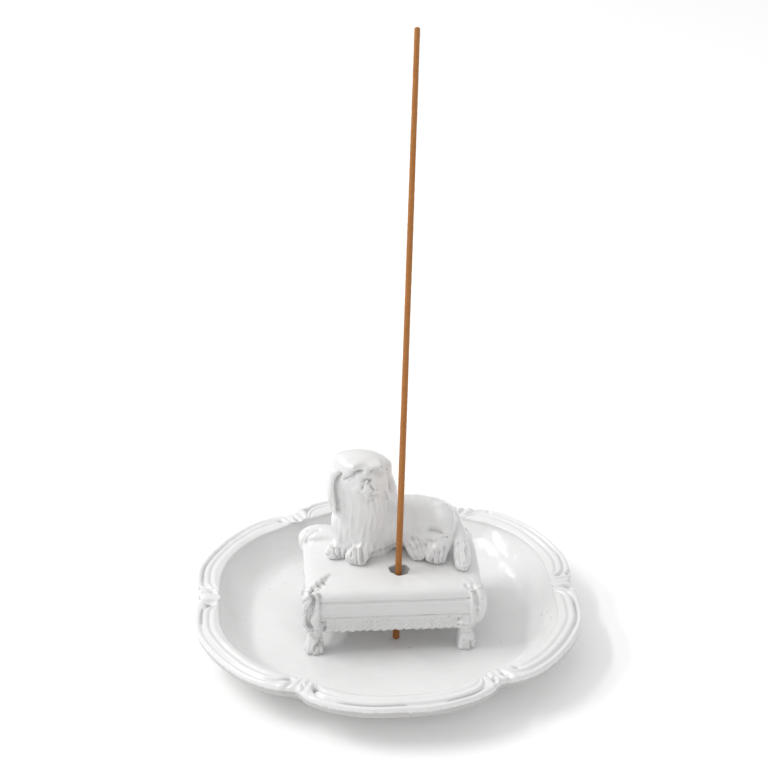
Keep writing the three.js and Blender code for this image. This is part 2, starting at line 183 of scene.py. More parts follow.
def noise(points, size, seed):
    """Smooth noise from -1 to 1, with lumps about as wide as size, from hashed grid corners."""
    at = np.asarray(points, float) / size + seed * 17.31
    cell = np.floor(at).astype(np.int64)
    share = smooth_step(0, 1, at - cell)
    total = np.zeros(at.shape[:-1])
    for corner in product((0, 1), repeat=3):
        key = cell + corner
        mixed = key[..., 0] * 73856093 ^ key[..., 1] * 19349663 ^ key[..., 2] * 83492791
        mixed = (mixed ^ (mixed >> 13)) * 1274126177
        value = ((mixed >> 7) & 0xFFFF) / 32767.5 - 1
        weight = np.where(corner, share, 1 - share).prod(-1)
        total += value * weight
    return total


def curve_through(stations, parts=4):
    """Points of a smooth curve through rows of numbers."""
    rows = np.asarray(stations, float)
    ends = np.vstack([2 * rows[0] - rows[1], rows, 2 * rows[-1] - rows[-2]])
    made = []
    for a, b, c, d in zip(ends[:-3], ends[1:-2], ends[2:-1], ends[3:]):
        for step in range(parts):
            t = step / parts
            made.append(
                b
                + 0.5 * t * (c - a)
                + t**2 * (a - 2.5 * b + 2 * c - 0.5 * d)
                + t**3 * 0.5 * (3 * b - a - 3 * c + d)
            )
    made.append(rows[-1])
    return np.array(made)


# Meshes


def add_object(name, data):
    thing = bpy.data.objects.new(name, data)
    bpy.context.scene.collection.objects.link(thing)
    return thing


def make_mesh(name, points, faces, wear_and_shade=None):
    """A smooth-shaded object from points in millimetres, rows of corners and each point's wear and
    painted shade.
    """
    mesh = bpy.data.meshes.new(name)
    mesh.from_pydata((points * MM).tolist(), [], list(faces))
    mesh.shade_smooth()
    if wear_and_shade is not None:
        layer = mesh.attributes.new("wear_and_shade", "FLOAT", "POINT")
        layer.data.foreach_set("value", wear_and_shade.astype(np.float32))
    return add_object(name, mesh)


def ring_faces(rings):
    """Numbers of the points of stacked rings, and the four-cornered faces between them."""
    index = np.arange(rings.size // 3).reshape(rings.shape[:2])
    after = np.roll(index, -1, axis=1)
    quads = np.stack([index[:-1], after[:-1], after[1:], index[1:]], -1).reshape(-1, 4)
    return index, quads


def normals_of(points, quads):
    """Unit normals at the points of a mesh of four-cornered faces."""
    a, b, c, d = (points[quads[:, i]] for i in range(4))
    face = np.cross(c - a, d - b)
    total = np.zeros_like(points)
    for i in range(4):
        for axis in range(3):
            total[:, axis] += np.bincount(
                quads[:, i], face[:, axis], minlength=len(points)
            )
    return total / np.maximum(np.linalg.norm(total, axis=1), 1e-9)[:, None]


def neighbour_mean(values, quads):
    """The mean of each point's neighbours along the edges."""
    columns = values.reshape(len(values), -1)
    count = np.zeros((len(values), 1))
    total = np.zeros_like(columns)
    for i in range(4):
        a, b = quads[:, i], quads[:, (i + 1) % 4]
        for here, there in ((a, b), (b, a)):
            count[:, 0] += np.bincount(here, minlength=len(values))
            for axis in range(columns.shape[1]):
                weights = columns[there, axis]
                total[:, axis] += np.bincount(here, weights, minlength=len(values))
    return (total / count).reshape(values.shape)


def relax(points, quads, rounds, share=0.5):
    """Move each point toward the mean of its neighbours."""
    for _ in range(rounds):
        points = points + share * (neighbour_mean(points, quads) - points)
    return points


def bend_of(points, quads):
    """How sharply each point stands out: edges above 0, creases below, per millimetre."""
    normals = normals_of(points, quads)
    size = (points**2).sum(1)
    mean = neighbour_mean(points, quads)
    spread = neighbour_mean(size, quads) - 2 * (mean * points).sum(1) + size
    out = ((points - mean) * normals).sum(1) / np.maximum(spread, 1e-3)
    for _ in range(WEAR_ROUNDS):
        out = neighbour_mean(out, quads)
    return out


# Clay


def merge(one, other, blend):
    """Smaller of two distances, rounded where they are alike."""
    share = np.clip(0.5 + 0.5 * (one - other) / blend, 0, 1)
    return one + (other - one) * share - blend * share * (1 - share)


def meet(one, other, blend):
    """Larger of two distances, rounded where they are alike."""
    return -merge(-one, -other, blend)


class Clay:
    """A lump on a grid of cells, whose field is below zero inside the clay."""

    def __init__(self, low, high):
        self.low = np.array(low, float)
        self.count = np.ceil((np.array(high) - self.low) / CLAY_STEP).astype(int) + 1
        self.field = np.full(self.count, EMPTY, np.float32)

    def near(self, low, high):
        """The cells from low to high, and their places."""
        first = np.floor((np.asarray(low) - self.low) / CLAY_STEP).astype(int)
        last = np.ceil((np.asarray(high) - self.low) / CLAY_STEP).astype(int) + 1
        first, last = np.clip(first, 0, self.count), np.clip(last, 0, self.count)
        where = tuple(slice(a, b) for a, b in zip(first, last))
        lines = [
            (self.low[i] + CLAY_STEP * np.arange(first[i], last[i])).astype(np.float32)
            for i in range(3)
        ]
        return where, np.meshgrid(*lines, indexing="ij", sparse=True)

    def add(self, where, distance, blend):
        self.field[where] = merge(self.field[where], distance, blend)

    def cut(self, where, distance, blend):
        self.field[where] = meet(self.field[where], -distance, blend)

    def trim(self, where, distance):
        """Keep only the clay where distance is below zero."""
        self.field[where] = np.maximum(self.field[where], distance)

    def skin(self):
        """Points and four-cornered faces of the surface where the field is zero."""
        solid = self.field < 0
        cells = np.array(self.field.shape) - 1
        corners = list(product((0, 1), repeat=3))

        def seen(array, corner):
            return array[tuple(slice(c, c + n) for c, n in zip(corner, cells))]

        held = sum(seen(solid, c).astype(np.uint8) for c in corners)
        mixed = (held > 0) & (held < 8)
        number = np.full(mixed.shape, -1, np.int64)
        number[mixed] = np.arange(mixed.sum())
        place = np.argwhere(mixed)
        total = np.zeros((len(place), 3))
        hits = np.zeros(len(place))
        for corner in corners:
            for axis in range(3):
                if corner[axis]:
                    continue
                other = tuple(c + (i == axis) for i, c in enumerate(corner))
                a, b = seen(self.field, corner)[mixed], seen(self.field, other)[mixed]
                crossed = (a < 0) != (b < 0)
                at = np.tile(np.array(corner, float), (crossed.sum(), 1))
                at[:, axis] += (a[crossed] / (a[crossed] - b[crossed])).clip(0, 1)
                total[crossed] += at
                hits[crossed] += 1
        points = self.low + CLAY_STEP * (place + total / hits[:, None])
        faces = []
        for axis in range(3):
            u, v = (axis + 1) % 3, (axis + 2) % 3
            inner = [slice(1, -1)] * 3
            ahead = list(inner)
            inner[axis], ahead[axis] = slice(0, -1), slice(1, None)
            below, above = solid[tuple(inner)], solid[tuple(ahead)]
            for flip, found in ((False, below & ~above), (True, ~below & above)):
                at = np.argwhere(found)
                at[:, u] += 1
                at[:, v] += 1
                ring = []
                for du, dv in ((-1, -1), (0, -1), (0, 0), (-1, 0)):
                    cell = at.copy()
                    cell[:, u] += du
                    cell[:, v] += dv
                    ring.append(number[tuple(cell.T)])
                faces.append(np.stack(ring[::-1] if flip else ring, 1))
        return points, np.concatenate(faces)


def limb_field(x, y, z, stations, side):
    """Distance to a limb through [x, y, z, half across, half deep] stations."""
    rows = curve_through(stations)
    best = None
    for a, b in zip(rows[:-1], rows[1:]):
        way = b[:3] - a[:3]
        length = np.linalg.norm(way)
        way = way / length
        across = side - way * (side @ way)
        across = across / np.linalg.norm(across)
        deep = np.cross(way, across)
        dx, dy, dz = x - a[0], y - a[1], z - a[2]
        along = dx * way[0] + dy * way[1] + dz * way[2]
        t = np.clip(along / length, 0, 1)
        wide = a[3] + (b[3] - a[3]) * t
        high = a[4] + (b[4] - a[4]) * t
        small = np.minimum(wide, high)
        p = (dx * across[0] + dy * across[1] + dz * across[2]) / wide
        q = (dx * deep[0] + dy * deep[1] + dz * deep[2]) / high
        tip = small * BLUNTNESS
        over = (along - t * length) / tip
        size = np.sqrt(p * p + q * q + over * over) + 1e-6
        slope = np.sqrt((p / wide) ** 2 + (q / high) ** 2 + (over / tip) ** 2) + 1e-6
        distance = size * (size - 1) / slope
        best = distance if best is None else np.minimum(best, distance)
    return best.astype(np.float32)


def lay_limb(clay, stations, side, blend):
    """Add a limb that is wide along side and joins the clay as softly as blend says."""
    rows = np.asarray(stations, float)
    reach = rows[:, 3:5].max() * 1.15 + blend + 2
    where, (x, y, z) = clay.near(rows[:, :3].min(0) - reach, rows[:, :3].max(0) + reach)
    distance = limb_field(x, y, z, rows, side)
    clay.add(where, distance, blend)


def nearest(points, line):
    """Distance from points to a line of straight stretches."""
    line = np.asarray(line, float)
    best = np.full(len(points), 1e9)
    for a, b in zip(line[:-1], line[1:]):
        way = b - a
        t = np.clip(((points - a) @ way) / (way @ way), 0, 1)
        best = np.minimum(best, np.linalg.norm(points - a - t[:, None] * way, axis=1))
    return best


def seen_from_front(points):
    """Places to the right of the dog's nose and above it, as the photograph has them.

    Gives the way from the nose to the camera too.
    """
    reach = np.linalg.norm(NOSE - CAMERA_AT)
    ahead = (NOSE - CAMERA_AT) / reach
    right = np.cross(ahead, [0, 0, 1])
    right = right / np.linalg.norm(right)
    up = np.cross(right, ahead)
    away = points - CAMERA_AT
    return np.stack([away @ right, away @ up], -1) * (reach / (away @ ahead))[:, None], -ahead


def crease(points, normals, lines):
    """Press lines into the surface that faces the photograph's camera.

    Gives the pressed points and how deep each one went in lines under 1 mm wide.
    """
    seen, toward = seen_from_front(points)
    facing = smooth_step(0.0, 0.35, normals @ toward)
    sunk, narrow = np.zeros((2, len(points)))
    for line, width, depth in lines:
        line = curve_through(line)
        low, high = line.min(0) - 3 * width, line.max(0) + 3 * width
        near = np.all((seen > low) & (seen < high), axis=1)
        pressed = depth * bump(nearest(seen[near], line), 0, width)
        sunk[near] += pressed
        narrow[near] += pressed * (width < 1)
    return points - normals * (sunk * facing)[:, None], narrow * facing


# Dish


def lobe_edge(turn):
    """The rim's outer radius, the distance along it from the nearest tie, and which tie."""
    places = np.radians([degrees for degrees, _ in TIES])
    ties = np.append(places, places[0] + 2 * math.pi)
    turn = ties[0] + np.mod(turn - ties[0], 2 * math.pi)
    before = np.searchsorted(ties, turn, side="right") - 1
    half = (ties[before + 1] - ties[before]) / 2
    gone = turn - ties[before]
    from_tie = np.where(gone < half, gone, gone - 2 * half)
    nearest_tie = (before + (gone >= half)) % len(TIES)
    radius = DISH_HIGH[1] - LOBE_BULGE * (1 - np.abs(from_tie) / half) ** 4
    return radius, from_tie * radius, nearest_tie


def softened(values, reach):
    """Each value's mean with its neighbours up to reach steps round a ring."""
    steps = range(-reach, reach + 1)
    return sum(np.roll(values, step) for step in steps) / len(steps)


def dish_outline(edge):
    """Corners of the section at each edge radius: base, outside, rim, wall, floor.

    Each row is a radius, a height and the steps to the next row.
    """
    lip = edge - LIP_INSET
    inner = softened(edge, DISH_STEPS // 30) - RIM_WIDTH
    rows = [(0, 0, 4), (FOOT_RADIUS * 0.6, 0, 6), (FOOT_RADIUS - 1.2, 0, 3)]
    for t in (0, 0.2, 0.45, 0.7, 0.9):
        rise = (LIP_HEIGHT - 0.6) * t**1.6
        rows.append((FOOT_RADIUS + (lip - FOOT_RADIUS) * t, 0.6 + rise, 6))
    rows += [
        (lip, LIP_HEIGHT, 6),
        (edge - 0.8, LIP_HEIGHT + 1.2, 8),
        (edge - 0.3, RIM_TOP - 2.1, 6),
        (edge - 0.15, RIM_TOP - 0.9, 6),
        (edge - 0.9, RIM_TOP - 0.15, 8),
        (edge - 3, RIM_TOP, 9),
        (edge - 5, RIM_TOP, 9),
        (edge - 7, RIM_TOP - 0.15, 8),
        (inner + 0.5, RIM_TOP - 0.7, 6),
        (inner, RIM_TOP - 2, 6),
    ]
    for t in (0.86, 0.7, 0.5, 0.3, 0.12):
        rise = (RIM_TOP - 2 - FLOOR_TOP) * t**2.1
        rows.append((FLOOR_RADIUS + (inner - FLOOR_RADIUS) * t, FLOOR_TOP + rise, 6))
    for share in (0.95, 0.7, 0.35, 0):
        rows.append((FLOOR_RADIUS * share, FLOOR_TOP, 12))
    return rows


def dish_section(edge):
    """Radius and height of the dish's section, and the way along it from the rim's edge."""
    rows = dish_outline(edge)
    flat = np.array([[edge * 0 + r, edge * 0 + z] for r, z, _ in rows])
    dense = curve_through(flat.reshape(len(rows), -1), SECTION_STEPS)
    dense = dense.reshape(-1, *flat.shape[1:])
    kept = []
    for i, (_, _, steps) in enumerate(rows[:-1]):
        kept += [SECTION_STEPS * i + round(SECTION_STEPS * k / steps) for k in range(steps)]
    section = dense[kept + [len(dense) - 1]]
    rim = kept.index(SECTION_STEPS * RIM_CORNER)
    stretch = np.hypot(*np.diff(section, axis=0, prepend=section[:1]).transpose(1, 0, 2))
    along = np.cumsum(stretch, axis=0)
    return section, along - along[rim]


def rim_relief(along, across, nearest_tie):
    """Height of the rim's mouldings and ties by place along and across the rim, and its pits.

    The mouldings sweep outward where they come to a tie, and end there.
    """
    far = np.abs(along)
    u = across - 4.4 * np.exp(-np.maximum(far - 5.6, 0) / 1.7)
    beads = (
        -0.75 * bump(u, GROOVE_INSET, 0.7)
        - 0.36 * bump(u, 6.7, 0.6)
        + 0.2 * bump(u, 5.2, 0.9)
        + 0.15 * bump(u, 8.2, 0.8)
    )
    lobe = smooth_step(4.6, 6.4, far)
    on_rim = smooth_step(-3.2, -0.4, across) * smooth_step(11.5, 8.4, across)
    pad = (0.42 * bump(far, 1.25, 0.85) - 0.3 * bump(far, 0, 0.38)) * bump(across, 4.2, 3.4)
    gap = -0.75 * bump(far, 3.0, 0.6) * bump(across, 4.6, 4.4)
    curl = 0.4 * bump(far, 4.9, 1.1) * bump(across, 4.4, 3.4)
    pitted = 0 * across
    for tie, (_, pits) in enumerate(TIES):
        for middle, depth_in, radius, depth in pits:
            near = bump(along, middle, radius) * (nearest_tie == tie)
            pitted += depth * near * bump(across, depth_in, radius)
    return on_rim * (beads * lobe + pad + gap + curl) - pitted, pitted


def uneven_edge(turn, circle):
    """What lobe_edge gives, with a hand-made rim's unevenness and its notches at the ties."""
    edge, along, nearest_tie = lobe_edge(turn)
    edge = edge + 0.25 * noise(circle * FOOT_RADIUS, 45, 2) - 0.25
    edge = edge + 1.3 * bump(np.degrees(turn), 45, 17)
    edge = softened(edge, DISH_STEPS // 240) - 0.8 * bump(along, 0, 3.2)
    for axis in (0, 1):
        side = (DISH_HIGH[axis] - 0.1) / np.maximum(np.abs(circle[:, axis]), 0.5)
        edge = merge(edge, side, 1.6)
    return edge, along, nearest_tie


def dish_wear_and_shade(circle, along, across, pitted):
    """How grey the glaze is painted. Above 0: painted shade down the outside, and worn patches on
    the rim's lip.
    Below 0: painted shade in the rim's groove, darker in patches, and in its pits.
    """
    patches = smooth_step(0.05, 0.5, noise(circle * FOOT_RADIUS, 8, 7))
    # Painted shade down the outer wall and on its top bead.
    outer_shade = 0.9 * smooth_step(0.9, -1.6, across) + 0.3 * bump(across, 0.2, 1.2)
    lip = 0.4 * bump(across, -0.6, 0.6) * patches
    lobe = smooth_step(6, 9, np.abs(along))
    # Painted shade in the groove, darker in patches, and in the pits.
    groove_shade = bump(across, GROOVE_INSET + 0.05, 0.65) * lobe
    return outer_shade + lip - (0.2 + 0.55 * patches) * groove_shade - 0.45 * pitted


def make_dish():
    """The dish as one turned skin, from the middle of its base to that of its floor."""
    turn = np.linspace(0, 2 * math.pi, DISH_STEPS, endpoint=False)
    circle = np.stack([np.cos(turn), np.sin(turn), 0 * turn], -1)
    edge, along, nearest_tie = uneven_edge(turn, circle)
    section, across = dish_section(edge)
    step = np.gradient(section, axis=0)
    out = np.stack([step[:, 1], -step[:, 0]], 1)
    out /= np.maximum(np.hypot(out[:, 0], out[:, 1]), 1e-9)[:, None]
    relief, pitted = rim_relief(along, across, nearest_tie)
    section = section + out * relief[:, None]
    points = section[:, 0, :, None] * circle
    height = section[:, 1]
    lifted = 0.22 * noise(circle * FOOT_RADIUS, 30, 5) * smooth_step(6, 14, height)
    uneven = 0.16 * noise(points, 9, 3) + 0.08 * noise(points, 3.2, 4)
    inside = smooth_step(-3, 0, across)
    points[..., 2] = np.maximum(height + lifted + uneven * inside, 0)
    rings = points[1:-1]
    index, quads = ring_faces(rings)
    middle = np.full(DISH_STEPS, index.size)
    base = np.stack([middle, np.roll(index[0], -1), index[0]], -1)
    floor = np.stack([middle + 1, index[-1], np.roll(index[-1], -1)], -1)
    flat = np.vstack([rings.reshape(-1, 3), [0, 0, 0], [0, 0, FLOOR_TOP]])
    # Worn lip, and painted shade on the outside, in the groove and in the pits.
    lip_wear_and_shade = dish_wear_and_shade(circle, along, across, pitted)[1:-1].ravel()
    wear_and_shade = np.append(bend_of(flat[:-2], quads) + lip_wear_and_shade, [0, 0])
    faces = quads.tolist() + base.tolist() + floor.tolist()
    return make_mesh("dish_glazed", flat, faces, wear_and_shade)


# Footstool


def sag_of(x, y):
    """How far the cushion's top lies below its crown."""
    u = (x - SEAT_MIDDLE[0]) / SEAT_HALF[0]
    v = y / SEAT_HALF[1]
    return SIDE_SAG[0] * u**4 + SIDE_SAG[1] * v**4


def stool_sides(x, y, z, strand):
    """Distance to the stool's upright sides, with its mouldings and fringe."""
    above = z - SEAM_HEIGHT
    inset = (
        0.75 * bump(z, SEAM_HEIGHT, 0.38)
        + 0.15 * bump(z, SEAM_HEIGHT - 0.95, 0.5)
        + 0.55 * smooth_step(-1.3, -2.0, above)
        + 0.3 * smooth_step(1.6, 0.2, above) * (above > 0)
        + 0.5 * bump(z, BAND_FOOT, 0.34)
        - 0.35 * bump(z, BAND_FOOT + 0.75, 0.4)
        - 0.25 * smooth_step(BAND_FOOT, FRINGE_TIP, z)
        - 0.7 * bump(z, SEAM_HEIGHT + 3.1, 2.0)
    )
    fringe = smooth_step(BAND_FOOT - 0.2, BAND_FOOT - 1.2, z)
    bulge = END_BULGE * smooth_step(-0.5, 2.5, above)
    qx = np.abs(x - SEAT_MIDDLE[0]) - (SEAT_HALF[0] - SEAT_CORNER) + inset - bulge
    qy = np.abs(y) - (SEAT_HALF[1] - SEAT_CORNER) + inset
    round_corner = np.hypot(np.maximum(qx, 0), np.maximum(qy, 0))
    side = round_corner + np.minimum(np.maximum(qx, qy), 0) - SEAT_CORNER
    return side + 0.55 * fringe * (1 - strand)


def strand_of(x, y, z):
    """How far each place is from the gaps between the fringe's strands, 0 to 1, and a
    slower beat that makes the strands' ends uneven.
    """
    on_end = (np.abs(x - SEAT_MIDDLE[0]) - SEAT_HALF[0]) > (np.abs(y) - SEAT_HALF[1])
    along = np.where(on_end, y, x)
    slant = 0.5 * (BAND_FOOT - z) + 0.5 * np.sin(along * 0.61) + 0.3 * np.sin(along * 1.7)
    wave = (along + slant) * math.pi / STRAND_PITCH
    return np.abs(np.sin(wave)) ** 0.6, np.sin(wave * 0.37 + along)


def lay_seat(clay):
    """A hollow cushion over a plain band, with a piped seam between them."""
    where, (x, y, z) = clay.near(SEAT_LOW - 2, SEAT_HIGH + 2)
    strand, _ = strand_of(x, y, z)
    u = np.abs(x - SEAT_MIDDLE[0])
    v = np.abs(y)
    side = stool_sides(x, y, z, strand)
    shape = meet(side, z - (CROWN - 0.1 - sag_of(x, y)), 5.0)
    shape = meet(shape, UNDERSIDE - z, 0.8)
    wall = meet(u - (SEAT_HALF[0] - SEAT_WALL), v - (SEAT_HALF[1] - SEAT_WALL), 2.5)
    hollow = meet(wall, z - (CROWN - SEAT_ROOF), 2.0)
    clay.add(where, meet(shape, -hollow, 0.8), 0.3)


def lay_fringe(clay):
    """A skirt of slanting strands between the feet, arched at the stool's ends."""
    low = [SEAT_LOW[0] - 2, SEAT_LOW[1] - 2, FRINGE_TIP - 2]
    where, (x, y, z) = clay.near(low, [SEAT_HIGH[0] + 2, SEAT_HIGH[1] + 2, UNDERSIDE + 1])
    strand, beat = strand_of(x, y, z)
    side = stool_sides(x, y, z, strand)
    skirt = np.abs(side + 1.7) - 1.35
    tip = FRINGE_TIP + 0.5 * (1 - strand) + 0.25 * beat
    u = np.abs(x) - (FOOT_AT[0] - 3.0)
    v = np.abs(y) - (FOOT_AT[1] - 3.0)
    tip = tip - 1.1 * smooth_step(-9, 0, np.maximum(u, v) * (np.minimum(u, v) < 0))
    tip = tip + END_ARCH * (u > 0) * smooth_step(16, 4, np.abs(y))
    skirt = meet(skirt, tip - z, 0.9)
    skirt = meet(skirt, np.minimum(u, v), 1.2)
    clay.add(where, meet(skirt, z - UNDERSIDE - 0.8, 0.3), 0.6)


def lay_foot(clay, sx, sy):
    """A clawed foot: a collar of two rings, a stout ankle and a paw of four toes."""
    low = [sx * FOOT_AT[0] - 7, sy * FOOT_AT[1] - 7, FLOOR_TOP - 1]
    high = [sx * FOOT_AT[0] + 7, sy * FOOT_AT[1] + 7, UNDERSIDE + 1.5]
    where, (x, y, z) = clay.near(low, high)
    rise = z - FLOOR_TOP
    collar = FRONT_COLLAR if sy < 0 else BACK_COLLAR
    radius = (
        2.9
        + collar * bump(rise, 9.4, 0.7)
        + collar * bump(rise, 11.2, 0.8)
        - 0.35 * bump(rise, 7.2, 1.4)
        + 0.35 * smooth_step(4.5, 1.5, rise)
    )
    middle = [sx * FOOT_AT[0], sy * (FOOT_AT[1] + 0.4)]
    reach = np.hypot(x - middle[0], y - middle[1])
    leg = meet(reach - radius, z - UNDERSIDE - 1, 0.5)
    clay.add(where, leg, 0.5)
    ahead = math.atan2(sy * 2, sx)
    for turn in (-63, -21, 21, 63):
        way = ahead + math.radians(turn)
        dx, dy = math.cos(way), math.sin(way)
        toe = [
            [out * dx, out * dy, rise, size, size]
            for out, rise, size in (
                (1.8, 6.4, 0.85),
                (2.2, 4.2, 1.0),
                (2.7, 2.2, 1.15),
                (3.2, 0.7, 1.05),
            )
        ]
        rows = np.array(toe) + [*middle, FLOOR_TOP, 0, 0]
        lay_limb(clay, rows, np.array([-dy, dx, 0]), 0.3)
    clay.trim(where, FLOOR_TOP - FOOT_SINK - z)


# Folds of cord that hang at the corners of the cushion, in stations of how far out
# along x and along y from the corner, height and radius. The front left tassel is
# twisted, and the others are leafed.
TWISTED = [
    [[-0.3, -2.2, 29.4, 1.4], [0.1, -1.2, 27.6, 2.1], [0.5, -1, 24.5, 1.8], [1, -1, 19.8, 1.4],
     [0.9, -1.2, 17, 1.4], [0.2, -1.4, 15.4, 1.2]],
    [[-3.4, -1.2, 29.2, 0.9], [-3.2, -0.6, 26.6, 1.2], [-3, -0.4, 22.5, 1.4], [-2.3, -0.5, 19, 1.9],
     [-2.2, -0.6, 16.4, 1.8]],
    [[0.2, -6.2, 28.4, 1], [0, -6.4, 24, 1.5], [0, -6.2, 17.5, 1.3]],
]
LEAFED = [
    [[-3.6, -0.9, 29, 0.8], [-3.1, -0.6, 26.6, 1.1], [-3, -0.5, 21, 1.15], [-2.7, -0.8, 16.4, 1]],
    [[-0.8, -2.2, 29, 1.3], [-0.3, -1.7, 25.6, 2.2], [-0.4, -1.6, 21.6, 2.3],
     [-0.9, -1.6, 17.8, 1.6], [-1.4, -1.6, 15.4, 0.7]],
    [[0, -6.4, 27.6, 0.9], [0.1, -6.6, 23, 1.4], [-0.4, -6.4, 17.4, 1]],
]


# Creases in the front of the stool, in the same terms as the dog's.
STOOL_CREASES = [
    # Left tassel: its long cleft, the notches of its braid and the turns of its cord.
    ([(-14.2, -32.6), (-15.4, -34.1), (-17.4, -35.4), (-19.1, -36.4)], 0.9, 0.7),
    ([(-19.1, -36.4), (-19.5, -37.9), (-18.7, -40.1), (-19.3, -42.2), (-20.4, -44.4),
      (-20.8, -46.5), (-20.5, -49.1), (-19.1, -50.8)], 0.5, 1.1),
    ([(-15.8, -33.0), (-14.6, -34.4)], 0.4, 0.7),
    ([(-17.6, -34.2), (-16.0, -35.8)], 0.4, 0.8),
    ([(-19.6, -35.6), (-17.8, -37.2)], 0.4, 0.8),
    ([(-23.2, -41.8), (-21.6, -40.6), (-20.0, -39.8)], 0.5, 0.5),
    ([(-23.4, -46.4), (-22.0, -45.2), (-20.8, -44.4)], 0.5, 0.5),
    ([(-16.4, -38.6), (-16.4, -43.0), (-16.6, -47.4)], 0.35, 0.5),
    ([(-15.0, -47.4), (-15.0, -50.6)], 0.4, 0.9),
    # Right tassel.
    ([(36.9, -35.0), (37.5, -37.5), (37.9, -40.1), (38.2, -42.7), (38.4, -45.2),
      (39.2, -48.9)], 0.7, 0.6),
    ([(34.4, -35.4), (35.6, -36.6), (36.6, -36.2)], 0.4, 0.6),
    # Edges of the leaf at the back left.
    ([(-23.2, -21.6), (-22.8, -18.4), (-21.2, -16.0), (-19.0, -14.9)], 0.4, 0.9),
    ([(-21.6, -20.4), (-21.0, -18.4), (-19.4, -16.6), (-17.0, -16.0)], 0.4, 0.6),
    # Collars and toes.
    ([(33.2, -51.6), (36.4, -52.0), (39.2, -51.6)], 0.4, 0.4),
    ([(-21.8, -52.2), (-18.0, -53.4), (-14.4, -52.6)], 0.4, 0.5),
    ([(-15.4, -53.8), (-17.8, -56.4), (-19.1, -58.6), (-19.7, -60.9)], 0.5, 1.5),
    ([(-17.0, -56.4), (-16.8, -58.4), (-17.0, -60.6)], 0.4, 0.7),
    ([(33.4, -54.6), (35.6, -54.9), (38.2, -54.2)], 0.4, 0.5),
    ([(34.0, -55.6), (33.8, -57.6), (34.0, -59.0)], 0.4, 0.7),
    ([(36.0, -55.4), (36.0, -57.4), (36.2, -58.8)], 0.4, 0.7),
]


def lay_tassel(clay, sx, sy):
    """Heavy folds of cord at a corner of the cushion, with fewer of them at the back."""
    tucked = 1.5 * (sy > 0)
    folds = TWISTED if (sx, sy) == (-1, -1) else LEAFED
    for fold in folds if sy < 0 else folds[:2]:
        rows = [
            [
                SEAT_MIDDLE[0] + sx * (SEAT_HALF[0] + out_x - tucked),
                sy * (SEAT_HALF[1] + out_y + tucked * 0.6),
                height,
                radius,
                radius,
            ]
            for out_x, out_y, height, radius in fold
        ]
        lay_limb(clay, rows, AXIS_X, 0.45)


def lay_knots(clay):
    """Curled ends of cord on three corners of the cushion, and a leaf on the back left one."""
    front = SEAT_LOW[1]
    left, right = SEAT_LOW[0], SEAT_HIGH[0]
    curls = [
        [
            [left + 7.4, front + 11.8, CROWN - 0.8, 1.2, 0.9],
            [left + 5.4, front + 9.2, CROWN - 0.9, 1.8, 1.2],
            [left + 3.4, front + 6.2, CROWN - 1.3, 2.1, 1.5],
            [left + 1.3, front + 3.4, CROWN - 2.5, 2.2, 1.7],
            [left + 0.1, front + 1.6, CROWN - 4.8, 2.0, 1.7],
        ],
        [
            [right - 6.2, front + 5.6, CROWN - 1.5, 0.8, 0.6],
            [right - 4.2, front + 4.6, CROWN - 1.9, 1.1, 0.8],
            [right - 2.6, front + 2.2, CROWN - 3.2, 1.3, 1.0],
        ],
        [
            [right - 5.4, -front - 4.4, CROWN - 1.8, 1.0, 0.6],
            [right - 3.2, -front - 3.0, CROWN - 2.6, 1.2, 0.8],
            [right - 2.2, -front - 2.4, CROWN - 4.4, 1.1, 0.8],
        ],
    ]
    for rows in curls:
        lay_limb(clay, rows, AXIS_X, 0.5)
    leaf = [
        [left + 14.0, -front - 5.0, CROWN - 1.4, 3.6, 1.4],
        [left + 9.0, -front - 4.4, CROWN + 0.3, 4.2, 1.8],
        [left + 4.0, -front - 4.0, CROWN + 0.5, 4.4, 1.8],
        [left + 0.4, -front - 3.2, CROWN - 1.0, 3.6, 1.6],
        [left - 0.9, -front - 2.6, CROWN - 3.8, 3.0, 1.3],
        [left - 0.4, -front - 2.2, CROWN - 7.0, 2.0, 1.0],
    ]
    lay_limb(clay, leaf, AXIS_Y, 3.5)


def from_hole(x, y, z):
    """Distance to the ragged wall of the hole, below 0 in the hole, which leans as the
    stick does. The stick rests at its front.
    """
    rise = z - FLOOR_TOP
    dx = x - STICK_FOOT[0] - STICK_LEAN[0] * rise - HOLE_MIDDLE[0]
    dy = y - STICK_FOOT[1] - STICK_LEAN[1] * rise - HOLE_MIDDLE[1]
    turn = np.arctan2(dy, dx)
    ragged = 0.22 * np.sin(3 * turn + 0.7 * rise) + 0.14 * np.sin(7 * turn + 1.3)
    return np.hypot(dx, dy) - HOLE_RADIUS - ragged


def cut_hole(clay):
    where, places = clay.near(
        [STICK_FOOT[0] - 6, STICK_FOOT[1] - 6, CROWN - SEAT_ROOF - 3],
        [STICK_FOOT[0] + 8, STICK_FOOT[1] + 10, CROWN + 2],
    )
    clay.cut(where, from_hole(*places), 0.4)


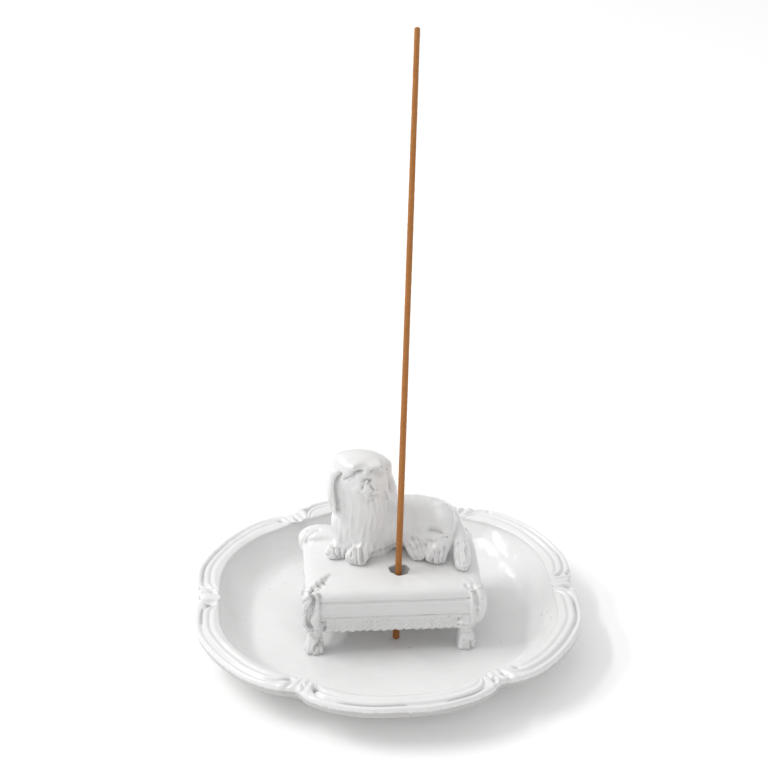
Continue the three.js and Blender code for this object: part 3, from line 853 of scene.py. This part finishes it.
def make_stool():
    """The footstool as one skin over seat, fringe, feet and tassels, with its hole."""
    clay = Clay(
        [SEAT_LOW[0] - 6, SEAT_LOW[1] - 5, FLOOR_TOP - 1.5],
        [SEAT_HIGH[0] + 6, SEAT_HIGH[1] + 5, CROWN + 4],
    )
    lay_seat(clay)
    lay_fringe(clay)
    for sx, sy in product((-1, 1), repeat=2):
        lay_foot(clay, sx, sy)
        lay_tassel(clay, sx, sy)
    lay_knots(clay)
    cut_hole(clay)
    points, quads = clay.skin()
    points = relax(points, quads, 1)
    normals = normals_of(points, quads)
    out = np.abs(points[:, :2] - SEAT_MIDDLE[:2]) - SEAT_HALF[:2] + TASSEL_REACH
    corner = relax((out.min(1) > 0).astype(float), quads, 6, 0.8)
    points, sunk = crease(points, normals, STOOL_CREASES)
    cord = smooth_step(UNDERSIDE - 3.8, UNDERSIDE - 0.8, points[:, 2]) * corner
    lumps = 0.22 * noise(points, 2.6, 11) + 0.14 * noise(points, 1.1, 12)
    even = 0.12 * noise(points, 7, 13) + 0.06 * noise(points, 2.4, 14)
    points = points + normals * (cord * lumps + even)[:, None]
    points = relax(points, quads, 1)
    # Wear on edges and painted shade in hollows from the bends, more painted shade in the pressed
    # creases, and painted shade on the hole's wall above the seam.
    hole_shade = smooth_step(0.8, 0.1, from_hole(*points.T)) * (points[:, 2] > SEAM_HEIGHT)
    wear_and_shade = bend_of(points, quads) - CREASE_SHADE * sunk - hole_shade
    return make_mesh("footstool_glazed", points, quads.tolist(), wear_and_shade)


# Dog

# Limbs of the dog, in stations of [x from the seat's middle, y, height above the
# cushion's crown, half across, half deep], with the axis they are wide along and how
# softly they join the rest.
DOG_LIMBS = [
    # Back, from the shoulders to the rump.
    (AXIS_Y, 2.0, [[-5.6, 7.4, 9.6, 7, 9.6], [2.4, 8, 10, 8, 10], [10.4, 8.4, 9.8, 8.5, 9.6],
                   [17.4, 9, 8.3, 8.2, 8.6], [21.6, 9.4, 6, 6.4, 6.4]]),
    # Belly and thigh.
    (AXIS_Y, 1.2, [[8.6, 1.6, 7.8, 3.4, 3.2], [14, 1.2, 7.8, 3.5, 3.2], [18.5, 1.8, 8, 3, 2.6]]),
    (AXIS_X, 1.6, [[17.4, 7, 13.4, 4.4, 4.6], [19, 3.8, 11.6, 4.4, 4.4], [20.4, 1.2, 9, 3.2, 3]]),
    # Chest and the long hair in front of it, up to the skull.
    (AXIS_X, 2.0, [[-9.2, 5.4, 0.5, 9.8, 6.4], [-9.4, 4.6, 7, 10, 7], [-10, 3.6, 14, 9.6, 7.2],
                   [-10.4, 2.4, 21, 9.2, 7], [-10.6, 1.8, 28, 9, 7], [-10.6, 2, 34, 9.4, 7.6]]),
    # Skull.
    (AXIS_X, 1.6, [[-10.6, 2.2, 31, 9.6, 7.6], [-10.6, 2.4, 35, 10.4, 8.6],
                   [-10.4, 2.8, 36.8, 10.9, 8]]),
    # Muzzle, its two cheeks, the nose and the lower lip.
    (AXIS_X, 1.2, [[-10, 1, 31.4, 5.2, 4.6], [-9.4, -3.4, 31.8, 4.4, 4.1],
                   [-9.2, -4.9, 31.8, 3.7, 3.5]]),
    (AXIS_X, 0.7, [[-12.2, -3.8, 31.4, 2.4, 2.3], [-12.4, -5.0, 30.8, 2.0, 1.9]]),
    (AXIS_X, 0.7, [[-6.6, -3.8, 31.6, 2.3, 2.2], [-6.5, -4.9, 31.0, 1.8, 1.8]]),
    (AXIS_X, 0.4, [[-9.0, -5.4, 34.8, 1.3, 1.0], [-9.0, -6.6, 34.0, 1.9, 1.3]]),
    (AXIS_X, 0.5, [[-8.4, -4.2, 27.4, 2.2, 1.5], [-8.2, -5.0, 27.0, 1.8, 1.2]]),
    # Left side of the face, beside the ear.
    (AXIS_X, 1.2, [[-18.4, -0.4, 35.4, 1.7, 1.7], [-18.7, -0.9, 30, 1.9, 1.9],
                   [-18.3, -0.7, 24.5, 1.8, 1.6]]),
    # Brows.
    (AXIS_X, 2.4, [[-15.2, -2.0, 37.2, 2.2, 1.4], [-12.4, -3.7, 38.4, 2.4, 1.2]]),
    (AXIS_X, 1.6, [[-4.6, -2.8, 39.0, 2.2, 1.2], [-7, -4.1, 38.8, 2.2, 1.1]]),
    # Left ear, then right ear.
    (AXIS_Y, 1.6, [[-18.8, 2.2, 36.8, 4.2, 2.3], [-20.5, 1.6, 34.8, 5, 2.4],
                   [-21.2, 1.2, 31, 5.3, 2.5], [-20.9, 0.9, 26.4, 4.9, 2.4],
                   [-19.8, 0.4, 22, 4, 2.1], [-19.2, 0, 19.2, 2.4, 1.5]]),
    (AXIS_Y, 1.2, [[-4.2, 3.2, 37, 4.2, 2], [-2.4, 2.8, 34, 5, 2.3], [-1.5, 2.4, 31, 5, 2.3],
                   [0, 2.2, 27, 4.4, 2.2], [0.3, 2, 23.6, 3.2, 1.9]]),
    # Left shoulder.
    (AXIS_X, 1.0, [[-17.4, 5.4, 16, 3.4, 4.4], [-18.0, 4.8, 12, 3.4, 4.4],
                   [-17.2, 4.6, 7, 3.2, 4]]),
    # Hind leg.
    (AXIS_X, 0.7, [[20.4, 5.5, 7.4, 4.2, 5.2], [18.4, 0.5, 6.2, 4.4, 4.6], [16.4, -3.2, 4, 4, 3.5],
                   [15.6, -6.2, 2, 3.6, 2.5]]),
    # Tucked paw between belly and hind leg.
    (AXIS_X, 0.6, [[7, 2.4, 6.6, 3.4, 3], [8.8, -0.8, 4.4, 3.7, 2.9], [10.4, -3.2, 1.8, 3, 2.2]]),
    # Left foreleg, then right foreleg.
    (AXIS_X, 0.6, [[-14.6, 6, 5, 3.2, 3.4], [-17.6, 3.8, 3.8, 3.4, 3.1], [-19.8, 1.4, 2, 3.8, 2.6],
                   [-20.4, 0, 1.3, 3.6, 2.1]]),
    (AXIS_X, 0.5, [[-6.6, 2, 8.6, 3.1, 3.1], [-8.9, -0.6, 6.1, 3.3, 3.1],
                   [-12.2, -3.4, 3.2, 3.9, 2.8], [-13, -4.8, 1.7, 3.9, 2.3]]),
    # Tail.
    (AXIS_X, 0.6, [[22.4, 9, 9.2, 2.8, 2.8], [24.2, 4.4, 7.4, 2.8, 2.9], [25, -1.4, 4.8, 2.8, 2.8],
                   [25, -6.6, 2.4, 3, 2.6], [24.8, -10.4, 0.7, 2.1, 1.7]]),
]

# Creases in the dog's front, as the photograph shows them: a line of places to the
# right of the nose and above it, in millimetres, then the crease's width and depth.
DOG_CREASES = [
    # Eyes and the hollows round them.
    ([(-7.9, 1.7), (-6.4, 2.4), (-4.8, 3.1), (-3.2, 4.0), (-1.8, 4.7)], 0.6, 0.9),
    ([(-4.6, 3.4), (-3.0, 4.3), (-1.8, 4.8)], 1.2, 1.2),
    ([(-6.2, 1.2), (-5.0, 1.6), (-4.0, 2.0)], 0.4, 0.5),
    ([(-3.6, 5.8), (-1.6, 6.0)], 0.4, 0.3),
    ([(1.6, 4.3), (3.0, 4.5), (4.6, 4.9)], 0.9, 1.3),
    ([(1.8, 3.9), (4.0, 4.1)], 1.3, 0.9),
    # Nose and mouth.
    ([(-1.2, 1.5), (0.2, 1.9), (1.5, 1.5)], 0.55, 1.0),
    ([(-1.5, 0.5), (-1.5, -0.6), (-1.8, -1.7)], 0.7, 1.2),
    ([(1.3, 1.1), (1.6, -0.8), (2.6, -2.6)], 0.5, 1.1),
    ([(-3.0, -3.2), (-1.8, -4.2), (0.6, -3.7), (2.6, -4.2), (3.8, -3.9)], 0.55, 0.7),
    ([(-1.0, -5.4), (0.8, -5.8), (2.2, -5.4)], 0.8, 0.8),
    # Edges of the ears.
    ([(-9.5, 3.5), (-10.5, 1.2), (-10.8, -1.2), (-10.5, -4.1), (-10.1, -6.7), (-9.8, -9.2)],
     0.55, 1.3),
    ([(7.5, 5.2), (8.1, 2.8), (8.4, 0.0), (8.5, -2.0)], 0.6, 1.4),
    # Toes of the left forepaw and the right forepaw.
    ([(-13.6, -21.4), (-14.0, -23.2), (-13.5, -24.8)], 0.4, 0.8),
    ([(-11.6, -22.4), (-11.4, -24.4), (-10.8, -26.0)], 0.4, 0.8),
    ([(-9.6, -22.6), (-9.0, -24.6), (-8.8, -26.6)], 0.4, 0.8),
    ([(-5.6, -23.6), (-6.0, -26.0), (-5.8, -28.2)], 0.4, 0.9),
    ([(-4.0, -22.6), (-3.8, -25.6), (-3.6, -28.6)], 0.4, 0.9),
    ([(-2.0, -22.4), (-1.6, -25.2), (-1.4, -28.4)], 0.4, 0.9),
    # Tucked paw, hind paw and the tail's tuft.
    ([(15.2, -18.6), (17.2, -21.6), (18.4, -25.6)], 0.4, 0.7),
    ([(17.0, -18.4), (18.6, -20.8), (19.8, -24.4)], 0.4, 0.6),
    ([(13.6, -20.4), (15.2, -22.6), (16.6, -25.8)], 0.4, 0.6),
    ([(23.6, -23.4), (23.0, -25.4), (22.6, -27.8)], 0.45, 0.8),
    ([(25.4, -23.6), (25.0, -26.0), (24.6, -28.6)], 0.45, 0.8),
    ([(27.2, -22.0), (27.2, -24.6), (26.8, -27.6)], 0.5, 0.9),
    ([(31.8, -20.6), (32.0, -24.8), (32.6, -28.4)], 0.35, 0.5),
    ([(34.4, -20.0), (34.8, -23.6), (34.9, -25.6)], 0.35, 0.5),
    ([(33.2, -22.6), (33.4, -25.6)], 0.35, 0.3),
    ([(33.8, -28.4), (34.8, -27.4), (35.5, -26.2)], 0.6, 0.6),
    # Folds in front of the thigh, below the chest and between the hind paws.
    ([(22.2, -15.6), (24.2, -16.1), (26.2, -16.9), (28.5, -18.4)], 0.6, 0.8),
    ([(22.0, -16.2), (25.0, -16.8)], 1.6, 0.6),
    ([(20.2, -19.4), (22.6, -19.9), (25.9, -19.2), (28.5, -18.6)], 0.4, 0.5),
    ([(15.6, -10.4), (15.4, -12.4), (15.6, -14.6)], 2.2, 0.8),
    ([(1.0, -24.7), (5.0, -23.4), (10.0, -21.4)], 0.5, 0.7),
]


def combed(points, normals):
    """Combed hair: fine strands down the chest, ears and paws, broader ones on the back."""
    x, y = points[:, 0], points[:, 1]
    z = points[:, 2] - CROWN
    down = np.stack([x + 0.6 * np.sin(z / 4), y / 2.4, z / 7], 1)
    chest = smooth_step(29, 25, z) * smooth_step(5, 2, x) * smooth_step(4, 0, y)
    back = np.stack([(x + 0.5 * z) / 1.5, y / 4, (z - 0.5 * x) / 7], 1)
    sweep = np.stack([(x - 0.35 * y) / 0.75, y / 5, z / 4], 1)
    paws = smooth_step(9, 6, z) * smooth_step(2, -1, y)
    ears = smooth_step(-15.5, -17, x) + smooth_step(0, 1.2, x) * (z > 22)
    amount = (
        0.42 * chest * noise(down, 1, 31)
        + 0.14 * chest * noise(down * [2.1, 2, 1.5], 1, 32)
        + 0.18 * smooth_step(-2, 2, x) * noise(back, 1, 33)
        + 0.3 * paws * noise(sweep, 1, 34)
        + 0.18 * np.minimum(ears, 1) * (z > 18) * noise(down * [0.8, 1.5, 1], 1, 35)
        + 0.12 * noise(points, 4, 36)
    )
    return points + normals * amount[:, None]


def make_dog():
    """The dog as one skin, trimmed to the cushion's top, creased and combed."""
    clay = Clay([-26, -15, CROWN - 3], [36, 24, CROWN + 46])
    for side, blend, rows in DOG_LIMBS:
        lay_limb(clay, np.array(rows) + [SEAT_MIDDLE[0], 0, CROWN, 0, 0], side, blend)
    where, (x, y, z) = clay.near(clay.low, clay.low + CLAY_STEP * clay.count)
    clay.trim(where, CROWN - 0.45 - sag_of(x, y) - z)
    points, quads = clay.skin()
    points = relax(points, quads, 2)
    points, sunk = crease(points, normals_of(points, quads), DOG_CREASES)
    points = combed(points, normals_of(points, quads))
    points = relax(points, quads, 1)
    # Wear on edges and painted shade in hollows from the bends, and more painted shade in the
    # pressed creases.
    wear_and_shade = bend_of(points, quads) - CREASE_SHADE * sunk
    return make_mesh("dog_glazed", points, quads.tolist(), wear_and_shade)


# Stick


def make_stick():
    """A straight rolled stick whose paste is a little rough."""
    top = box_mm("incense_stick")[1][2]
    length = (top - FLOOR_TOP) / STICK_WAY[2] - STICK_SHORTER
    shares = np.linspace(0, 1, STICK_RINGS)
    turn = np.linspace(0, 2 * math.pi, STICK_SIDES, endpoint=False)
    across = AXIS_X - STICK_WAY * STICK_WAY[0]
    across /= np.linalg.norm(across)
    deep = np.cross(STICK_WAY, across)
    circle = np.cos(turn)[:, None] * across + np.sin(turn)[:, None] * deep
    start = STICK_FOOT + [0, 0, STICK_START]
    line = start + shares[:, None] * length * STICK_WAY
    ends = np.minimum(shares, 1 - shares) * length
    rounded = np.sqrt(np.clip(1 - (1 - np.minimum(ends / 0.5, 1)) ** 2, 0.3, 1))
    radius = (STICK_BASE + (STICK_TIP - STICK_BASE) * shares) * rounded
    points = line[:, None] + circle[None] * radius[:, None, None]
    rough = 0.035 * noise(points, 0.8, 21) + 0.03 * noise(points, 3.5, 22)
    points = points + circle[None] * (rough - 0.04)[..., None]
    index, quads = ring_faces(points)
    caps = [index[0][::-1].tolist(), index[-1].tolist()]
    return make_mesh("incense_stick_paste", points.reshape(-1, 3), quads.tolist() + caps)


# Materials


class Nodes:
    """Short names for building a material's node tree."""

    def __init__(self, name):
        self.material = bpy.data.materials.new(name)
        self.material.use_nodes = True
        self.tree = self.material.node_tree
        self.shader = self.tree.nodes["Principled BSDF"]

    def put(self, socket, value):
        """Link an output to a socket, or set the socket to a plain value."""
        if isinstance(value, bpy.types.NodeSocket):
            self.tree.links.new(value, socket)
        else:
            socket.default_value = value

    def add(self, kind, links=None, **settings):
        node = self.tree.nodes.new(kind)
        for key, value in settings.items():
            setattr(node, key, value)
        for key, value in (links or {}).items():
            self.put(node.inputs[key], value)
        return node

    def noise(self, scale, detail, where):
        links = {"Scale": scale, "Detail": detail, "Vector": where}
        return self.add("ShaderNodeTexNoise", links).outputs["Fac"]

    def span(self, value, low, high, to_low=0.0, to_high=1.0):
        links = {0: value, 1: low, 2: high, 3: to_low, 4: to_high}
        return self.add("ShaderNodeMapRange", links).outputs[0]

    def math(self, operation, one, other):
        return self.add("ShaderNodeMath", {0: one, 1: other}, operation=operation).outputs[0]

    def blend(self, share, one, other):
        """One colour at share 0, the other at share 1."""
        links = {0: share, 6: one, 7: other}
        return self.add("ShaderNodeMix", links, data_type="RGBA").outputs[2]

    def set(self, key, value):
        self.put(self.shader.inputs[key], value)

    def bump(self, height, strength, distance):
        links = {"Height": height, "Strength": strength, "Distance": distance}
        return self.add("ShaderNodeBump", links).outputs["Normal"]


def grey(value, warm=0.0):
    """A grey, redder than it is blue where warm is above 0."""
    return (value * (1 + warm), value, value * (1 - warm), 1)


def make_glaze():
    """White glaze, grey where it is thin on edges, greyed by painted shade down the dish's outside
    and darkened by painted shade in hollows, creases, the rim's groove and pits and the stool's
    hole, with a few specks.
    """
    n = Nodes("white_glaze")
    where = n.add("ShaderNodeTexCoord").outputs["Object"]
    bend = n.add("ShaderNodeAttribute", attribute_name="wear_and_shade").outputs["Fac"]
    broad = n.noise(60, 3, where)
    fine = n.noise(420, 4, where)
    # Grey where the attribute is high: thin glaze worn on edges, and painted shade down the dish's
    # outside.
    edge = n.span(n.math("ADD", bend, n.span(fine, 0.2, 0.8, -0.25, 0.25)), 0.28, 0.75)
    # Darker where it is low: painted shade in hollows and creases, the rim's groove and pits and
    # the stool's hole.
    crease = n.span(n.math("ADD", bend, n.span(fine, 0.2, 0.8, -0.08, 0.08)), -0.3, -0.9)
    white = n.blend(broad, grey(0.81, 0.004), grey(0.88, 0.002))
    shaded_creases = n.blend(n.math("MULTIPLY", crease, 0.7), white, grey(0.36, 0.02))
    worn_and_shaded = n.blend(n.math("MULTIPLY", edge, 0.6), shaded_creases, grey(0.34, 0.03))
    cells = n.add("ShaderNodeTexVoronoi", {"Vector": where, "Scale": 190.0}).outputs[0]
    rare = n.span(n.noise(25, 1, where), 0.56, 0.66)
    speck = n.math("MULTIPLY", n.span(cells, 0.12, 0.06), rare)
    n.set("Base Color", n.blend(n.math("MULTIPLY", speck, 0.45), worn_and_shaded, grey(0.4, 0.04)))
    n.set("Roughness", 0.19)
    n.set("IOR", 1.5)
    n.set("Coat Weight", 0.12)
    n.set("Coat Roughness", 0.12)
    n.set("Normal", n.bump(n.noise(140, 2, where), 0.35, 0.0007))
    return n.material


def make_paste():
    """Rolled incense paste: matt and brown, with painted shade darkening its foot, and fine grain.
    """
    n = Nodes("incense_paste")
    where = n.add("ShaderNodeTexCoord").outputs["Object"]
    rise = n.add("ShaderNodeSeparateXYZ", {0: where}).outputs[2]
    grain = n.noise(1500, 4, where)
    patches = n.noise(90, 3, where)
    # Painted shade: darker low down, where the stick stands under the seat and in its hole.
    foot_shade_tone = n.blend(n.span(rise, 0.02, 0.06), (0.28, 0.1, 0.022, 1), (0.46, 0.19, 0.058, 1))
    mottled = n.blend(n.span(patches, 0.3, 0.7, 0, 0.35), foot_shade_tone, (0.54, 0.25, 0.09, 1))
    n.set("Base Color", n.blend(n.span(grain, 0.35, 0.75, 0, 0.4), mottled, (0.26, 0.09, 0.02, 1)))
    n.set("Specular IOR Level", 0.25)
    n.set("Roughness", n.span(grain, 0.3, 0.7, 0.75, 0.95))
    n.set("Normal", n.bump(grain, 0.6, 0.0002))
    return n.material


def make_floor_look():
    """Matt white that glows a little, so that the floor stays white."""
    n = Nodes("studio_white")
    where = n.add("ShaderNodeTexCoord").outputs["Object"]
    n.set("Base Color", n.blend(n.noise(3, 2, where), grey(0.93), grey(0.95)))
    n.set("Roughness", 0.9)
    n.set("Emission Color", (1, 1, 1, 1))
    n.set("Emission Strength", 0.15)
    return n.material


# Studio


def aim(thing, target):
    way = Vector(target) - thing.location
    thing.rotation_euler = way.to_track_quat("-Z", "Y").to_euler()


def softbox(name, place, size, power):
    light = bpy.data.lights.new(name, "AREA")
    light.shape = "RECTANGLE"
    light.size, light.size_y = size
    light.energy = power
    thing = add_object(name, light)
    thing.location = place
    aim(thing, LIGHTS_AIM)


def make_studio():
    """A pale floor, soft lights and a white sky."""
    floor = bpy.data.meshes.new("studio_floor")
    corners = [(-1, -1), (1, -1), (1, 1), (-1, 1)]
    places = [(STUDIO_HALF * x, STUDIO_HALF * y, 0) for x, y in corners]
    floor.from_pydata(places, [], [(0, 1, 2, 3)])
    stage = add_object("studio_floor", floor)
    stage.data.materials.append(make_floor_look())
    for light in LIGHTS:
        softbox(*light)
    world = bpy.data.worlds.new("studio")
    world.use_nodes = True
    back = world.node_tree.nodes["Background"]
    back.inputs["Color"].default_value = (1, 1, 1, 1)
    back.inputs["Strength"].default_value = SKY_STRENGTH
    bpy.context.scene.world = world
    bpy.context.scene.view_settings.view_transform = "Standard"


def make_camera():
    data = bpy.data.cameras.new("camera")
    data.sensor_width = SENSOR
    data.lens = SENSOR * FOCAL_PIXELS / FRAME_SIDE
    thing = add_object("camera", data)
    thing.location = Vector(CAMERA_AT) * MM
    aim(thing, Vector(CAMERA_AIM) * MM)
    bpy.context.scene.camera = thing


# Assembly

make_camera()
make_studio()

names = set(frame["nodes"])
dog_nodes = sorted(n for n in names if n.startswith("dog_"))
stool_nodes = sorted(names - set(dog_nodes) - {"dish", "incense_stick"})

glaze = make_glaze()
paste = make_paste()
for piece, body, slot, look, nodes in (
    (make_dish(), "holder", "glaze", glaze, ["dish"]),
    (make_stool(), "holder", "glaze", glaze, stool_nodes),
    (make_dog(), "holder", "glaze", glaze, dog_nodes),
    (make_stick(), "stick", "incense", paste, ["incense_stick"]),
):
    piece.data.materials.append(look)
    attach(piece, body)
    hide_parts(*nodes)
